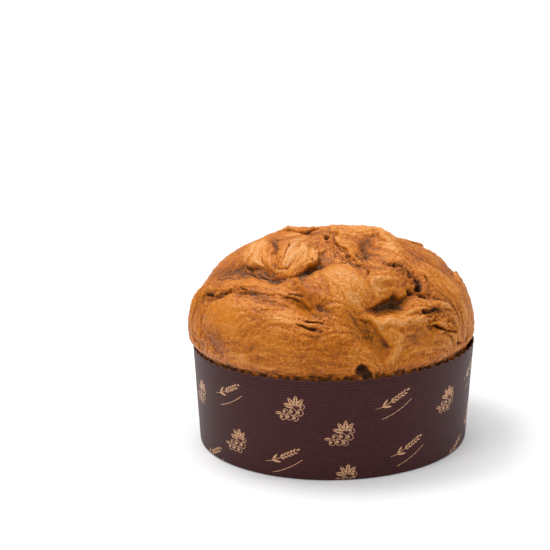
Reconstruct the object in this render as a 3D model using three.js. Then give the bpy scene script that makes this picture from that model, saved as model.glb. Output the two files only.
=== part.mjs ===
// A low panettone: one naturally leavened loaf, baked and sold in its paper mould.
// Millimetres, +Z up. The origin is the middle of the mould's foot, on the surface it stands on.
// Azimuth 0 faces the front (-Y) and grows towards +X. The mould's glued lap is at the back.
//
// The loaf's crust is described on a flat chart of the dome: a point (u, v) lies hypot(u, v) away
// from the crown along the skin, u to the right and v to the back. Every swelling, hollow and fold
// of the dough is placed and sized on that chart.
import * as THREE from "three";

// ---- Driving dimensions -------------------------------------------------------------------------
const RIM_RADIUS = 105; // outside of the paper at its top edge
const FOOT_RADIUS = 102; // outside of the paper where it folds under
const MOULD_HEIGHT = 76;
const RIM_SPREAD = 3.2; // the paper stands this far out from the loaf at the right of the rim
const PAPER = 0.9; // the fluted wall paper, over its ridges
const FLANGE = 9; // the wall's lower edge, folded in under the base
const TEETH = 74; // the pinking of the cut edges, about 9 mm a tooth
const TOOTH_DEPTH = 1.3;
const LAP_WIDTH = 14; // where the strip's two ends are glued together
const BASE_PAPER = 0.8;
const VENT_RADIUS = 1.5; // steam holes in the base
const VENT_RINGS = [
  { radius: 0, count: 1 },
  { radius: 32, count: 6 },
  { radius: 66, count: 12 },
];
const CLEARANCE = 0.35; // between neighbouring solids

const BULGE_RADIUS = 108.9; // the loaf at its widest, just over the rim
const BULGE_HEIGHT = 86;
const DOME_RISE = 67.6; // from the widest place to the crown
const DOME_SHAPE = 2.3; // exponent of the dome's profile: 2 is an ellipse
const NECK_HEIGHT = 77; // where the overhanging crust turns in, just above the rim
const NECK_GAP = 1; // the loaf has shrunk this far from the paper at the rim
const FILL_HEIGHT = 68; // below this the loaf fills the mould
const HEEL_RADIUS = 7; // the loaf's rounded lower corner
const LOAF_FLOOR = PAPER + BASE_PAPER + 2 * CLEARANCE;

// ---- Fineness -----------------------------------------------------------------------------------
const STEPS_PER_TOOTH = 4;
const LOAF_SEGMENTS = 96;
const DOME_RINGS = 34;
const TUCK_RINGS = 4;
const SIDE_RINGS = 4;
const HEEL_RINGS = 3;
const BASE_SEGMENTS = 96;
const VENT_SEGMENTS = 10;

// ---- The dough's relief, in chart millimetres -----------------------------------------------------
// A swelling (rise above 0) or hollow (rise below 0): its middle, its long and short half-widths,
// the long axis's turn in degrees from +u towards +v, and its rise.
const SWELLINGS = [
  { at: [-82, -86], half: [44, 27], turn: -42, rise: 7 }, // broad lobe, front left
  { at: [-30, -128], half: [44, 18], turn: -8, rise: 3 }, // front apron
  { at: [-25, -34], half: [30, 14], turn: 82, rise: 6.5 }, // folded-over petal
  { at: [-57, -12], half: [28, 10], turn: 84, rise: 3.5 }, // its neighbour on the left
  { at: [10, -78], half: [26, 17], turn: -66, rise: 6.5 }, // centre pillow
  { at: [40, -68], half: [22, 9], turn: 32, rise: 4.5 }, // brow over the deep hollow
  { at: [18, 16], half: [34, 16], turn: -12, rise: 5 }, // crown
  { at: [46, -22], half: [30, 11], turn: -76, rise: 4 },
  { at: [76, -34], half: [30, 16], turn: -40, rise: 2.5 },
  { at: [-30, 44], half: [32, 16], turn: 12, rise: 4 }, // crest behind the crown
  { at: [104, -62], half: [44, 20], turn: 52, rise: 3 }, // right shoulder
  { at: [84, -112], half: [26, 10], turn: 40, rise: 2.5 },
  { at: [-110, -26], half: [30, 16], turn: 18, rise: 1.5 }, // left shoulder
  { at: [82, 62], half: [42, 26], turn: -45, rise: 4 },
  { at: [-78, 66], half: [44, 26], turn: 42, rise: 4 },
  { at: [4, 104], half: [46, 24], turn: 3, rise: 4 },
  { at: [46, -87], half: [26, 10], turn: 35, rise: -8.5 }, // deep hollow, front right
  { at: [34, -119], half: [21, 10], turn: -26, rise: -7.5 }, // oval hollow below it
  { at: [-19, -97], half: [16, 9], turn: -40, rise: -6 }, // hollow behind the lip
  { at: [-13, -58], half: [15, 8], turn: 40, rise: -5.5 }, // scoop under the petal
  { at: [-44, -60], half: [26, 10], turn: -46, rise: -5 }, // long valley, lower end
  { at: [28, -22], half: [32, 8], turn: -84, rise: -3.5 }, // furrow right of the crown
  { at: [84, -98], half: [15, 9], turn: 36, rise: -4 },
  { at: [-2, -50], half: [14, 9], turn: -80, rise: -2 },
  { at: [-74, -28], half: [30, 11], turn: -46, rise: -4 }, // long valley, upper end
  { at: [-98, 8], half: [32, 24], turn: -70, rise: -4 },
  { at: [38, 62], half: [30, 8], turn: 60, rise: -4 },
  { at: [-36, 84], half: [34, 8], turn: -52, rise: -4 },
  { at: [96, 8], half: [30, 9], turn: 80, rise: -3 },
  { at: [-20, 44], half: [24, 8], turn: -4, rise: 2.4 }, // lip across the crown
  { at: [24, 20], half: [26, 9], turn: -24, rise: 2.6 }, // roll beside it
];

const radians = THREE.MathUtils.degToRad;

// ---- Shared sizes of the mould -------------------------------------------------------------------
function wallRadius(height) {
  return THREE.MathUtils.lerp(FOOT_RADIUS, RIM_RADIUS, height / MOULD_HEIGHT);
}

function liningRadius(height) {
  return wallRadius(height) - PAPER;
}

// ---- The loaf --------------------------------------------------------------------------------------
// The skin's profile from the crown down to the middle of the underside, as points (radius, height).
function skinProfile() {
  const points = [];
  for (let i = 0; i <= DOME_RINGS; i++) {
    const fall = (i / DOME_RINGS) * (Math.PI / 2);
    const radius = BULGE_RADIUS * Math.sin(fall) ** (2 / DOME_SHAPE);
    const height = BULGE_HEIGHT + DOME_RISE * Math.max(Math.cos(fall), 0) ** (2 / DOME_SHAPE);
    points.push(new THREE.Vector2(radius, height));
  }
  const neck = RIM_RADIUS - PAPER - NECK_GAP;
  for (let i = 1; i <= TUCK_RINGS; i++) {
    const turn = (i / TUCK_RINGS) * (Math.PI / 2);
    const radius = neck + (BULGE_RADIUS - neck) * Math.cos(turn);
    const height = BULGE_HEIGHT - (BULGE_HEIGHT - NECK_HEIGHT) * Math.sin(turn);
    points.push(new THREE.Vector2(radius, height));
  }
  const heelTop = LOAF_FLOOR + HEEL_RADIUS;
  for (let i = 0; i <= SIDE_RINGS; i++) {
    const height = THREE.MathUtils.lerp(FILL_HEIGHT, heelTop, i / SIDE_RINGS);
    points.push(new THREE.Vector2(liningRadius(height) - CLEARANCE, height));
  }
  const heelMiddle = liningRadius(heelTop) - CLEARANCE - HEEL_RADIUS;
  for (let i = 1; i <= HEEL_RINGS; i++) {
    const turn = (i / HEEL_RINGS) * (Math.PI / 2);
    const radius = heelMiddle + HEEL_RADIUS * Math.cos(turn);
    points.push(new THREE.Vector2(radius, heelTop - HEEL_RADIUS * Math.sin(turn)));
  }
  points.push(new THREE.Vector2(heelMiddle / 2, LOAF_FLOOR));
  points.push(new THREE.Vector2(0, LOAF_FLOOR));
  points[0].x = 0;
  return points;
}

// How far the relief lifts the skin at a chart point.
function relief(u, v) {
  let lift = 0;
  for (const { at, half, turn, rise } of SWELLINGS) {
    const along = new THREE.Vector2(u - at[0], v - at[1]);
    along.rotateAround(new THREE.Vector2(), -radians(turn));
    const reach = (along.x / half[0]) ** 2 + (along.y / half[1]) ** 2;
    lift += rise * Math.exp(-1.2 * reach);
  }
  return lift;
}

function loafGeometry() {
  const profile = skinProfile();
  const rings = profile.length;
  const skirtStart = DOME_RINGS;
  const along = [0];
  for (let i = 1; i < rings; i++) {
    along.push(along[i - 1] + profile[i].distanceTo(profile[i - 1]));
  }
  const outward = profile.map((_, i) => {
    const before = profile[Math.max(i - 1, 0)];
    const after = profile[Math.min(i + 1, rings - 1)];
    const slope = after.clone().sub(before).normalize();
    return i === 0 ? new THREE.Vector2(0, 1) : new THREE.Vector2(-slope.y, slope.x);
  });
  const geometry = new THREE.LatheGeometry(profile.slice().reverse(), LOAF_SEGMENTS);
  geometry.rotateX(Math.PI / 2);
  const position = geometry.getAttribute("position");
  for (let k = 0; k < position.count; k++) {
    const ring = rings - 1 - (k % rings);
    const azimuth = Math.atan2(position.getX(k), -position.getY(k));
    const u = along[ring] * Math.sin(azimuth);
    const v = -along[ring] * Math.cos(azimuth);
    // The relief dies out through the tuck, so that the loaf stays clear of the rim.
    const free = 1 - THREE.MathUtils.smoothstep(ring, skirtStart - 1, skirtStart + TUCK_RINGS - 1);
    const lift = free > 0 ? relief(ring ? u : 0, ring ? v : 0) * free : 0;
    const radius = profile[ring].x + outward[ring].x * lift;
    position.setXYZ(
      k,
      radius * Math.sin(azimuth),
      -radius * Math.cos(azimuth),
      profile[ring].y + outward[ring].y * lift,
    );
  }
  return geometry;
}

// ---- The mould's wall ------------------------------------------------------------------------------
// How deep the pinked edge is cut at a column: 0 on a tooth's tip, TOOTH_DEPTH between teeth.
function pinking(column) {
  return (TOOTH_DEPTH * (1 - Math.cos((2 * Math.PI * column) / STEPS_PER_TOOTH))) / 2;
}

// How far the rim stands out of its circle: only round the right-hand side.
function spread(turn) {
  return RIM_SPREAD * Math.max(Math.sin(turn), 0) ** 6;
}

function wallGeometry() {
  const columns = TEETH * STEPS_PER_TOOTH;
  const FLANGE_EDGE = 0;
  const FLANGE_EDGE_TOP = 5;
  const RIM_OUTSIDE = 2;
  const RIM_INSIDE = 3;
  const section = [
    new THREE.Vector2(FOOT_RADIUS - FLANGE, 0),
    new THREE.Vector2(FOOT_RADIUS, 0),
    new THREE.Vector2(RIM_RADIUS, MOULD_HEIGHT),
    new THREE.Vector2(RIM_RADIUS - PAPER, MOULD_HEIGHT),
    new THREE.Vector2(liningRadius(PAPER), PAPER),
    new THREE.Vector2(FOOT_RADIUS - FLANGE, PAPER),
  ];
  const outside = [1, RIM_OUTSIDE];
  const geometry = new THREE.LatheGeometry([...section, section[0]], columns);
  geometry.rotateX(Math.PI / 2);
  const position = geometry.getAttribute("position");
  const lapColumns = Math.round((LAP_WIDTH * columns) / (2 * Math.PI * RIM_RADIUS));
  const lapStart = columns / 2;
  for (let k = 0; k < position.count; k++) {
    const corner = (k % (section.length + 1)) % section.length;
    const azimuth = Math.atan2(position.getX(k), -position.getY(k));
    const turn = THREE.MathUtils.euclideanModulo(azimuth, 2 * Math.PI);
    const column = Math.round((turn / (2 * Math.PI)) * columns) % columns;
    let radius = section[corner].x;
    let height = section[corner].y;
    if (corner === RIM_OUTSIDE || corner === RIM_INSIDE) {
      height -= pinking(column);
      radius += spread(turn);
    }
    if (corner === FLANGE_EDGE || corner === FLANGE_EDGE_TOP) radius += pinking(column);
    const inLap = column >= lapStart && column < lapStart + lapColumns;
    if (inLap && outside.includes(corner)) radius += PAPER;
    position.setXYZ(k, radius * Math.sin(turn), -radius * Math.cos(turn), height);
  }
  return geometry;
}

// ---- The mould's base ------------------------------------------------------------------------------
function circlePoints(x, y, radius, count) {
  return Array.from({ length: count }, (_, i) => {
    const turn = (2 * Math.PI * i) / count;
    return new THREE.Vector2(x + radius * Math.cos(turn), y + radius * Math.sin(turn));
  });
}

function baseGeometry() {
  const seat = PAPER + CLEARANCE;
  const disc = new THREE.Shape(circlePoints(0, 0, liningRadius(seat) - CLEARANCE, BASE_SEGMENTS));
  for (const { radius, count } of VENT_RINGS) {
    for (let i = 0; i < count; i++) {
      const turn = (2 * Math.PI * i) / count;
      const vent = circlePoints(
        radius * Math.cos(turn),
        radius * Math.sin(turn),
        VENT_RADIUS,
        VENT_SEGMENTS,
      );
      disc.holes.push(new THREE.Path(vent));
    }
  }
  const geometry = new THREE.ExtrudeGeometry(disc, { depth: BASE_PAPER, bevelEnabled: false });
  geometry.translate(0, 0, seat);
  return geometry;
}

// ---- Assembly --------------------------------------------------------------------------------------
const crust = new THREE.MeshStandardMaterial({ color: 0xb4691f, roughness: 0.5, metalness: 0 });
const printedPaper = new THREE.MeshStandardMaterial({ color: 0x45292c, roughness: 0.5, metalness: 0 });
const basePaper = new THREE.MeshStandardMaterial({ color: 0x5a3a2a, roughness: 0.7, metalness: 0 });

function piece(name, geometry, material) {
  const mesh = new THREE.Mesh(geometry, material);
  mesh.name = name;
  return mesh;
}

const panettone = new THREE.Group();
panettone.add(
  piece("panettone_loaf", loafGeometry(), crust),
  piece("mould_wall", wallGeometry(), printedPaper),
  piece("mould_base", baseGeometry(), basePaper),
);

export default panettone;
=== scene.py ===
"""The looks of a low panettone in its paper baking mould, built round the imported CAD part.

Sizes are in millimetres until a mesh is made, and azimuth 0 is the front (-Y), growing towards +X.
The crust is worked out on a flat chart of the dome: a chart point (u, v) lies hypot(u, v) from the
crown along the skin, u to the right and v to the back. Folds, creases and slits of the dough are
drawn on that chart, give the skin its lift and its sideways slide, and leave their shading with it.
"""

from math import ceil, cos, hypot, pi, radians, sin

import bpy
import numpy as np
from mathutils import Matrix, Vector


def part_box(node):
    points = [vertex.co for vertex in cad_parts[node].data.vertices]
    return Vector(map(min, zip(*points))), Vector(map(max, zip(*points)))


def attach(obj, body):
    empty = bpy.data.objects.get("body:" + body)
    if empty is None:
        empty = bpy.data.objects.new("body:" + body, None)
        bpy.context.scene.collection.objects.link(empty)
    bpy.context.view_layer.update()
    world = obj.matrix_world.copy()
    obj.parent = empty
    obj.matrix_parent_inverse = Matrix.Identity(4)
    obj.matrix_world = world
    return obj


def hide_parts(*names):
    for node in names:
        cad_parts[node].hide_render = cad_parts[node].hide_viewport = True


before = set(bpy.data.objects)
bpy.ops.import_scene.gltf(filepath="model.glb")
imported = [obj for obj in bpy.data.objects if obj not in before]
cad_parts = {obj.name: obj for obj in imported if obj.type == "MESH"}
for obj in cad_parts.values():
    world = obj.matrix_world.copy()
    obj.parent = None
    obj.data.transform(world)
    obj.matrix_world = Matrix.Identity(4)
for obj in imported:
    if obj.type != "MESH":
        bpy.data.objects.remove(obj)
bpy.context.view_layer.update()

MM = 0.001

# ---- Sizes shared with the CAD model ----
RIM_RADIUS = 105
MOULD_HEIGHT = (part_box("mould_wall")[1] / MM).z
FOOT_RADIUS = 102
MEAN_RADIUS = (RIM_RADIUS + FOOT_RADIUS) / 2
RIM_SPREAD = 3.2
PAPER = 0.9
FLANGE = 9
TEETH = 74
TOOTH_DEPTH = 1.3
LAP_WIDTH = 14
LOAF_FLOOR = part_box("panettone_loaf")[0].z / MM
BULGE_RADIUS = 108.9
BULGE_HEIGHT = 86
DOME_RISE = 67.6
DOME_SHAPE = 2.3
NECK_HEIGHT = 77
NECK_GAP = 1
FILL_HEIGHT = 68
HEEL_RADIUS = 7
CLEARANCE = 0.35
VENT_RADIUS = 1.5
VENT_RINGS = [(0, 1), (32, 6), (66, 12)]

# ---- The mould paper's own sizes ----
FLUTE_PITCH = 2.1
FLUTE_DEPTH = 0.32
SHEET = 0.4
PLEATS = 52
BEND_RADIUS = 1.2  # where the wall turns in to the flange

CRUST_INSET = 1.5  # the crust's fine relief starts this far inside the CAD loaf's skin

# ---- Fineness ----
LOAF_CELLS = 236  # along each edge of the loaf's six-sided grid
CHART_STEP = 0.4
DOME_STEPS = 2000  # along the skin's profile, crown to widest place
TURN_STEPS = 200  # round each of its lower turns
CHART_HALF = 166
COLUMNS_PER_TOOTH = 7
ROWS_PER_FLUTE = 4
BASE_POINTS = 60  # along each flute of the base disc

rng = np.random.default_rng(20)


# ---- The loaf's plain skin ----
def lining_radius(height):
    return FOOT_RADIUS + (RIM_RADIUS - FOOT_RADIUS) * height / MOULD_HEIGHT - PAPER


def skin_profile():
    """The skin's line from crown to underside: distance along it, radius and height."""
    fall = np.linspace(0, pi / 2, DOME_STEPS)
    dome = np.sin(fall) ** (2 / DOME_SHAPE) * BULGE_RADIUS
    dome_height = BULGE_HEIGHT + np.clip(np.cos(fall), 0, 1) ** (2 / DOME_SHAPE) * DOME_RISE
    turn = np.linspace(0, pi / 2, TURN_STEPS)[1:]
    neck = RIM_RADIUS - PAPER - NECK_GAP
    tuck = neck + (BULGE_RADIUS - neck) * np.cos(turn)
    tuck_height = BULGE_HEIGHT - (BULGE_HEIGHT - NECK_HEIGHT) * np.sin(turn)
    side_height = np.array([FILL_HEIGHT, LOAF_FLOOR + HEEL_RADIUS])
    side = lining_radius(side_height) - CLEARANCE
    heel = side[-1] - HEEL_RADIUS * (1 - np.cos(turn))
    heel_height = LOAF_FLOOR + HEEL_RADIUS * (1 - np.sin(turn))
    radius = np.concatenate([dome, tuck, side, heel, [0]])
    height = np.concatenate([dome_height, tuck_height, side_height, heel_height, [LOAF_FLOOR]])
    along = np.concatenate([[0], np.cumsum(np.hypot(np.diff(radius), np.diff(height)))])
    return along, radius, height


SKIN_ALONG, SKIN_RADIUS, SKIN_HEIGHT = skin_profile()
EQUATOR = SKIN_ALONG[DOME_STEPS - 1]
NECK = SKIN_ALONG[DOME_STEPS + TURN_STEPS - 2]


def skin_point(along, azimuth):
    """Point and outward normal of the plain skin, each as an array of rows."""
    step = 0.6
    radius = np.interp(along, SKIN_ALONG, SKIN_RADIUS)
    height = np.interp(along, SKIN_ALONG, SKIN_HEIGHT)
    outer = np.clip(along + step, 0, SKIN_ALONG[-1])
    inner = np.clip(along - step, 0, SKIN_ALONG[-1])
    run = np.interp(outer, SKIN_ALONG, SKIN_RADIUS) - np.interp(inner, SKIN_ALONG, SKIN_RADIUS)
    climb = np.interp(outer, SKIN_ALONG, SKIN_HEIGHT) - np.interp(inner, SKIN_ALONG, SKIN_HEIGHT)
    length = np.maximum(np.hypot(run, climb), 1e-9)
    right, front = np.sin(azimuth), -np.cos(azimuth)
    point = np.stack([radius * right, radius * front, height], -1)
    normal = np.stack([-climb * right, -climb * front, run], -1) / length[:, None]
    return point, normal


# ---- The chart and its tools ----
CELLS = int(2 * CHART_HALF / CHART_STEP)
AXIS = (np.arange(CELLS) + 0.5) * CHART_STEP - CHART_HALF
U, V = np.meshgrid(AXIS, AXIS)
FREQUENCY_U = np.fft.rfftfreq(CELLS, CHART_STEP)[None, :]
FREQUENCY_V = np.fft.fftfreq(CELLS, CHART_STEP)[:, None]
FREQUENCY = np.hypot(FREQUENCY_U, FREQUENCY_V)


def blur(field, width):
    return np.fft.irfft2(np.fft.rfft2(field) * np.exp(-2 * (pi * width * FREQUENCY) ** 2), field.shape)


def noise(size):
    """Smooth random lumps about `size` mm across, with mean 0 and deviation 1."""
    white = np.fft.rfft2(rng.standard_normal((CELLS, CELLS)))
    band = (FREQUENCY * size) ** 2 * np.exp(-((FREQUENCY * size) ** 2))
    field = np.fft.irfft2(white * band, (CELLS, CELLS))
    return field / field.std()


def ramp(x, low, high):
    t = np.clip((x - low) / (high - low), 0, 1)
    return t * t * (3 - 2 * t)


def mix(a, b, share):
    return a + (b - a) * share


def patch(at, half, turn=0, power=1):
    """1 at the middle of an ellipse on the chart, falling to 0 outside it."""
    c, s = cos(radians(turn)), sin(radians(turn))
    across, up = U - at[0], V - at[1]
    reach = ((across * c + up * s) / half[0]) ** 2 + ((up * c - across * s) / half[1]) ** 2
    return np.exp(-1.2 * reach**power)


def smooth_line(points):
    """Points about 1.5 mm apart on a Catmull-Rom curve through the given ones."""
    p = np.array(points, float)
    p = np.vstack([2 * p[0] - p[1], p, 2 * p[-1] - p[-2]])
    out = []
    for a, b, c, d in zip(p, p[1:], p[2:], p[3:]):
        count = max(2, ceil(hypot(*(c - b)) / 1.5))
        for t in np.arange(count) / count:
            square, cube = 2 * a - 5 * b + 4 * c - d, 3 * b - a - 3 * c + d
            out.append(0.5 * (2 * b + (c - a) * t + square * t**2 + cube * t**3))
    return np.array(out + [p[-2]])


class Line:
    """A window of the chart round a smooth line: signed distance, left positive, and share along."""

    def __init__(self, points, reach, wander=0.0):
        line = smooth_line(points)
        low = np.clip(((line.min(0) - reach + CHART_HALF) / CHART_STEP).astype(int), 0, CELLS - 1)
        high = np.clip(((line.max(0) + reach + CHART_HALF) / CHART_STEP).astype(int) + 1, 1, CELLS)
        self.window = np.s_[low[1] : high[1], low[0] : high[0]]
        u, v = U[self.window], V[self.window]
        if wander:
            u = u + wander * WANDER_U[self.window]
            v = v + wander * WANDER_V[self.window]
        best = np.full(u.shape, 1e9)
        self.side = np.zeros(u.shape)
        self.share = np.zeros(u.shape)
        lengths = np.hypot(*np.diff(line, axis=0).T)
        before = np.concatenate([[0], np.cumsum(lengths)])
        for (a, b), length, start in zip(zip(line, line[1:]), lengths, before):
            du, dv = (b - a) / max(length, 1e-9)
            run = (u - a[0]) * du + (v - a[1]) * dv
            held = np.clip(run, 0, length)
            off_u, off_v = u - a[0] - held * du, v - a[1] - held * dv
            distance = np.hypot(off_u, off_v)
            nearer = distance < best
            best[nearer] = distance[nearer]
            self.side[nearer] = np.sign(off_v * du - off_u * dv)[nearer]
            self.share[nearer] = ((start + held) / before[-1])[nearer]
        self.distance = best
        self.signed = best * self.side
        self.fade = np.sin(pi * np.clip(self.share, 0.02, 0.98)) ** 0.6
        grad_v, grad_u = np.gradient(self.signed, CHART_STEP)
        size = np.maximum(np.hypot(grad_u, grad_v), 1e-6)
        self.left = (grad_u / size, grad_v / size)


def sample(field, u, v):
    """A chart field's values at chart points, between cells."""
    x = np.clip((u + CHART_HALF) / CHART_STEP - 0.5, 0, CELLS - 1.001)
    y = np.clip((v + CHART_HALF) / CHART_STEP - 0.5, 0, CELLS - 1.001)
    i, j = x.astype(int), y.astype(int)
    a, b = x - i, y - j
    top = field[j, i] * (1 - a) + field[j, i + 1] * a
    return top * (1 - b) + (field[j + 1, i] * (1 - a) + field[j + 1, i + 1] * a) * b


# ---- The way the dough was stretched ----
# Streaks in the crust run radially by default. Each stroke turns them: place, direction in degrees
# from +u towards +v, and how far it holds sway.
STROKES = [
    ((-72, -92), -34, 30),
    ((-40, -112), -16, 26),
    ((0, -128), 0, 24),
    ((-104, -60), 40, 18),
    ((-96, -30), 12, 20),
    ((-60, -50), -48, 13),
    ((-38, -72), -40, 12),
    ((-56, -14), 82, 13),
    ((-30, -32), 72, 13),
    ((-20, -60), 40, 8),
    ((4, -40), -70, 13),
    ((12, -78), -62, 14),
    ((-18, -98), -38, 9),
    ((30, -20), -62, 14),
    ((62, -30), -36, 18),
    ((44, -72), 30, 12),
    ((46, -94), 30, 12),
    ((36, -118), -30, 12),
    ((84, -84), 32, 18),
    ((84, -108), 40, 16),
    ((118, -44), -30, 22),
    ((0, 30), 4, 24),
    ((60, 60), -45, 26),
    ((-60, 70), 40, 26),
    ((0, 100), 4, 24),
    ((100, 40), 70, 26),
    ((-110, 40), -70, 26),
]


def stretch_field():
    """The streaks' direction at each chart cell, as a unit line field (u part, v part)."""
    azimuth = np.arctan2(V, U)
    double_c, double_s = 0.12 * np.cos(2 * azimuth), 0.12 * np.sin(2 * azimuth)
    for at, turn, reach in STROKES:
        weight = np.exp(-((U - at[0]) ** 2 + (V - at[1]) ** 2) / (1.3 * reach**2))
        double_c = double_c + weight * cos(radians(2 * turn))
        double_s = double_s + weight * sin(radians(2 * turn))
    turn = np.arctan2(double_s, double_c) / 2
    turn = turn + 0.14 * noise(30) + 0.07 * noise(9)
    return np.cos(turn), np.sin(turn)


def drag(fields, flow, reach):
    """Each field smeared along the flow, `reach` mm each way, with mean 0 and deviation 1."""
    sums = [f.copy() for f in fields]
    for way in (1, -1):
        x, y = np.meshgrid(np.arange(CELLS, dtype=np.float32), np.arange(CELLS, dtype=np.float32))
        step_x, step_y = way * flow[0], way * flow[1]
        for k in range(1, int(reach / CHART_STEP) + 1):
            x, y = x + step_x, y + step_y
            i = np.clip(np.rint(x), 0, CELLS - 1).astype(np.int32)
            j = np.clip(np.rint(y), 0, CELLS - 1).astype(np.int32)
            new_x, new_y = flow[0][j, i], flow[1][j, i]
            keep = np.where(new_x * step_x + new_y * step_y < 0, -1, 1)
            step_x, step_y = new_x * keep, new_y * keep
            weight = 0.5 + 0.5 * cos(pi * k * CHART_STEP / (reach + CHART_STEP))
            for total, f in zip(sums, fields):
                total += weight * f[j, i]
    return [(s - s.mean()) / s.std() for s in sums]


# ---- The crust's shape ----
# Swellings and hollows, nearly those of the CAD loaf: middle, half-widths, turn of the long axis, rise.
SWELLINGS = [
    ((-82, -86), (44, 27), -42, 7),
    ((-30, -128), (44, 18), -8, 3),
    ((-25, -34), (30, 14), 82, 6.5),
    ((-57, -12), (28, 10), 84, 3.5),
    ((10, -78), (26, 17), -66, 6.5),
    ((40, -68), (22, 9), 32, 4.5),
    ((18, 16), (34, 16), -12, 5),
    ((46, -22), (30, 11), -76, 4),
    ((76, -34), (30, 16), -40, 2.5),
    ((-30, 44), (32, 16), 12, 4),
    ((104, -62), (44, 20), 52, 3),
    ((84, -112), (26, 10), 40, 2.5),
    ((-110, -26), (30, 16), 18, 1.5),
    ((82, 62), (42, 26), -45, 4),
    ((-78, 66), (44, 26), 42, 4),
    ((4, 104), (46, 24), 3, 4),
    ((46, -87), (27, 11), 35, -9.5),
    ((34, -119), (21, 10), -26, -7.5),
    ((-19, -97), (16, 9), -40, -6),
    ((-13, -58), (15, 8), 40, -5.5),
    ((-44, -60), (26, 10), -46, -5),
    ((28, -22), (32, 8), -84, -3.5),
    ((84, -98), (15, 9), 36, -4),
    ((-2, -50), (14, 9), -80, -2),
    ((-74, -28), (30, 11), -46, -4),
    ((-98, 8), (32, 24), -70, -4),
    ((38, 62), (30, 8), 60, -4),
    ((-36, 84), (34, 8), -52, -4),
    ((96, 8), (30, 9), 80, -3),
]

# Folds: a sheet of dough lies over its neighbour, high on the left of the line's travel.
# Each has its line, the lip's rise, the drop under it, the reach of each and the lip's overhang.
FOLDS = [
    ([(-29, -67), (-24, -63), (-18, -57), (-11, -48), (-5, -38), (-2, -30)], 2.6, 2.4, 4, 9, 0.6),
    ([(-66, -14), (-64, -26), (-60, -33), (-53, -38), (-48, -37)], 1.4, 1.2, 7, 5, 0.8),
    ([(-42, 42), (-27, 43), (-18, 37), (-10, 38), (-4, 34)], 2.4, 3, 8, 6, 1.6),
    ([(-5, 40), (3, 11), (8, -15), (14, -31), (22, -55), (26, -64), (31, -79)], 2.2, 2, 6, 5, 1.4),
    ([(28, 16), (35, 7), (42, -10), (50, -16)], 1.4, 1.4, 6, 5, 0.6),
    ([(-108, -37), (-99, -41), (-91, -49), (-84, -54), (-77, -60)], 1.2, 2, 8, 5, 1.4),
    ([(26, -98), (33, -89), (42, -82), (52, -76), (63, -71)], 2, 2, 5, 9, 1.2),
    ([(22, -107), (40, -110), (50, -118), (53, -131)], 1.2, 1.8, 5, 7, 0.7),
    ([(-40, -82), (-32, -85), (-24, -88), (-17, -95), (-10, -104)], 1.2, 1.8, 4, 6, 1),
    ([(70, -86), (75, -82), (82, -80), (90, -74)], 0.8, 2, 5, 5, 1.2),
    ([(80, -91), (88, -87), (96, -85), (102, -79), (110, -74)], 1, 2, 5, 5, 1.4),
    ([(58, 34), (72, 54), (73, 78), (60, 98)], 1.8, 2.8, 9, 7, 1.8),
    ([(-104, 70), (-80, 84), (-52, 80), (-30, 62)], 1.8, 2.8, 9, 7, 1.8),
    ([(-32, 112), (-8, 106), (16, 112), (34, 104)], 1.4, 2, 8, 6, 1.4),
    ([(112, 30), (104, 10), (106, -12)], 1.4, 2, 8, 6, 1.4),
]

# Ridges: rounded rolls of dough. Line, height, half-width.
RIDGES = [
    ([(24, -95), (32, -86), (42, -79), (52, -73), (62, -68)], 1.6, 4.5),
    ([(-36, -66), (-24, -76), (-18, -86), (-9, -97), (-3, -109)], 3.4, 3),
    ([(-24, -6), (-26, -26), (-29, -44), (-29, -62)], 1.2, 3),
    ([(-24, -69), (-12, -63), (-2, -62)], 1.2, 2),
    ([(-52, 22), (-47, 2), (-46, -18), (-46, -36)], 2.2, 3.5),
    ([(-8, 24), (10, 28), (28, 20), (44, 4), (56, -4)], 3.4, 8),
    ([(-66, -48), (-52, -62), (-40, -72), (-28, -80)], 1.6, 4),
    ([(20, -104), (38, -105), (54, -103), (68, -98)], 1.8, 3.5),
    ([(54, -108), (57, -120), (52, -134)], 2, 4),
    ([(74, -126), (96, -112), (114, -95)], 1.6, 5),
    ([(-119, -50), (-116, -66), (-109, -84)], 1.6, 3),
    ([(-98, -100), (-86, -112), (-70, -122)], 1.2, 6),
    ([(64, -46), (82, -40), (100, -44), (116, -54)], 2, 7),
    ([(72, -96), (90, -94), (104, -88)], 1.6, 4),
    ([(-30, 54), (-4, 60), (22, 56)], 3, 8),
    ([(50, 100), (74, 96), (94, 78)], 2.6, 8),
    ([(-100, 52), (-76, 70), (-50, 66)], 2.6, 8),
]

# Creases: soft valleys. Line, depth, half-width.
CREASES = [
    ([(-90, -4), (-72, -24), (-58, -40), (-48, -54), (-38, -66), (-30, -76)], 2.4, 7),
    ([(-23, 48), (-17, 28), (-10, 12)], 4.5, 5.5),
    ([(31, 8), (28, -14), (26, -34), (24, -46)], 3, 4.5),
    ([(-41, 16), (-42, -10), (-43, -32)], 2.6, 2.4),
    ([(18, -107), (32, -109), (46, -108), (60, -108), (70, -111)], 1.2, 1.8),
    ([(-123, -44), (-122, -62), (-117, -80)], 2, 2.2),
    ([(-131, -44), (-129, -62), (-126, -78)], 1.6, 2),
    ([(118, -80), (126, -71), (132, -62)], 2, 2.2),
    ([(56, -10), (66, -24), (80, -22), (98, -12)], 2.4, 5),
    ([(-96, -18), (-84, -32), (-70, -42), (-60, -54)], 2, 3.4),
    ([(-106, -42), (-90, -55), (-74, -64), (-56, -77), (-42, -90), (-30, -99)], 3, 4.5),
    ([(-109, -74), (-106, -90), (-96, -104)], 1.6, 5),
    ([(4, -108), (-4, -100), (2, -90)], 1.6, 3.5),
    ([(58, -98), (70, -106), (84, -112), (100, -108)], 1.6, 4),
    ([(-6, 74), (20, 80), (44, 74)], 2.6, 5),
    ([(-70, 110), (-60, 96), (-44, 90)], 2, 3),
    ([(90, 92), (96, 72), (112, 58)], 2.2, 3),
]

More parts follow.
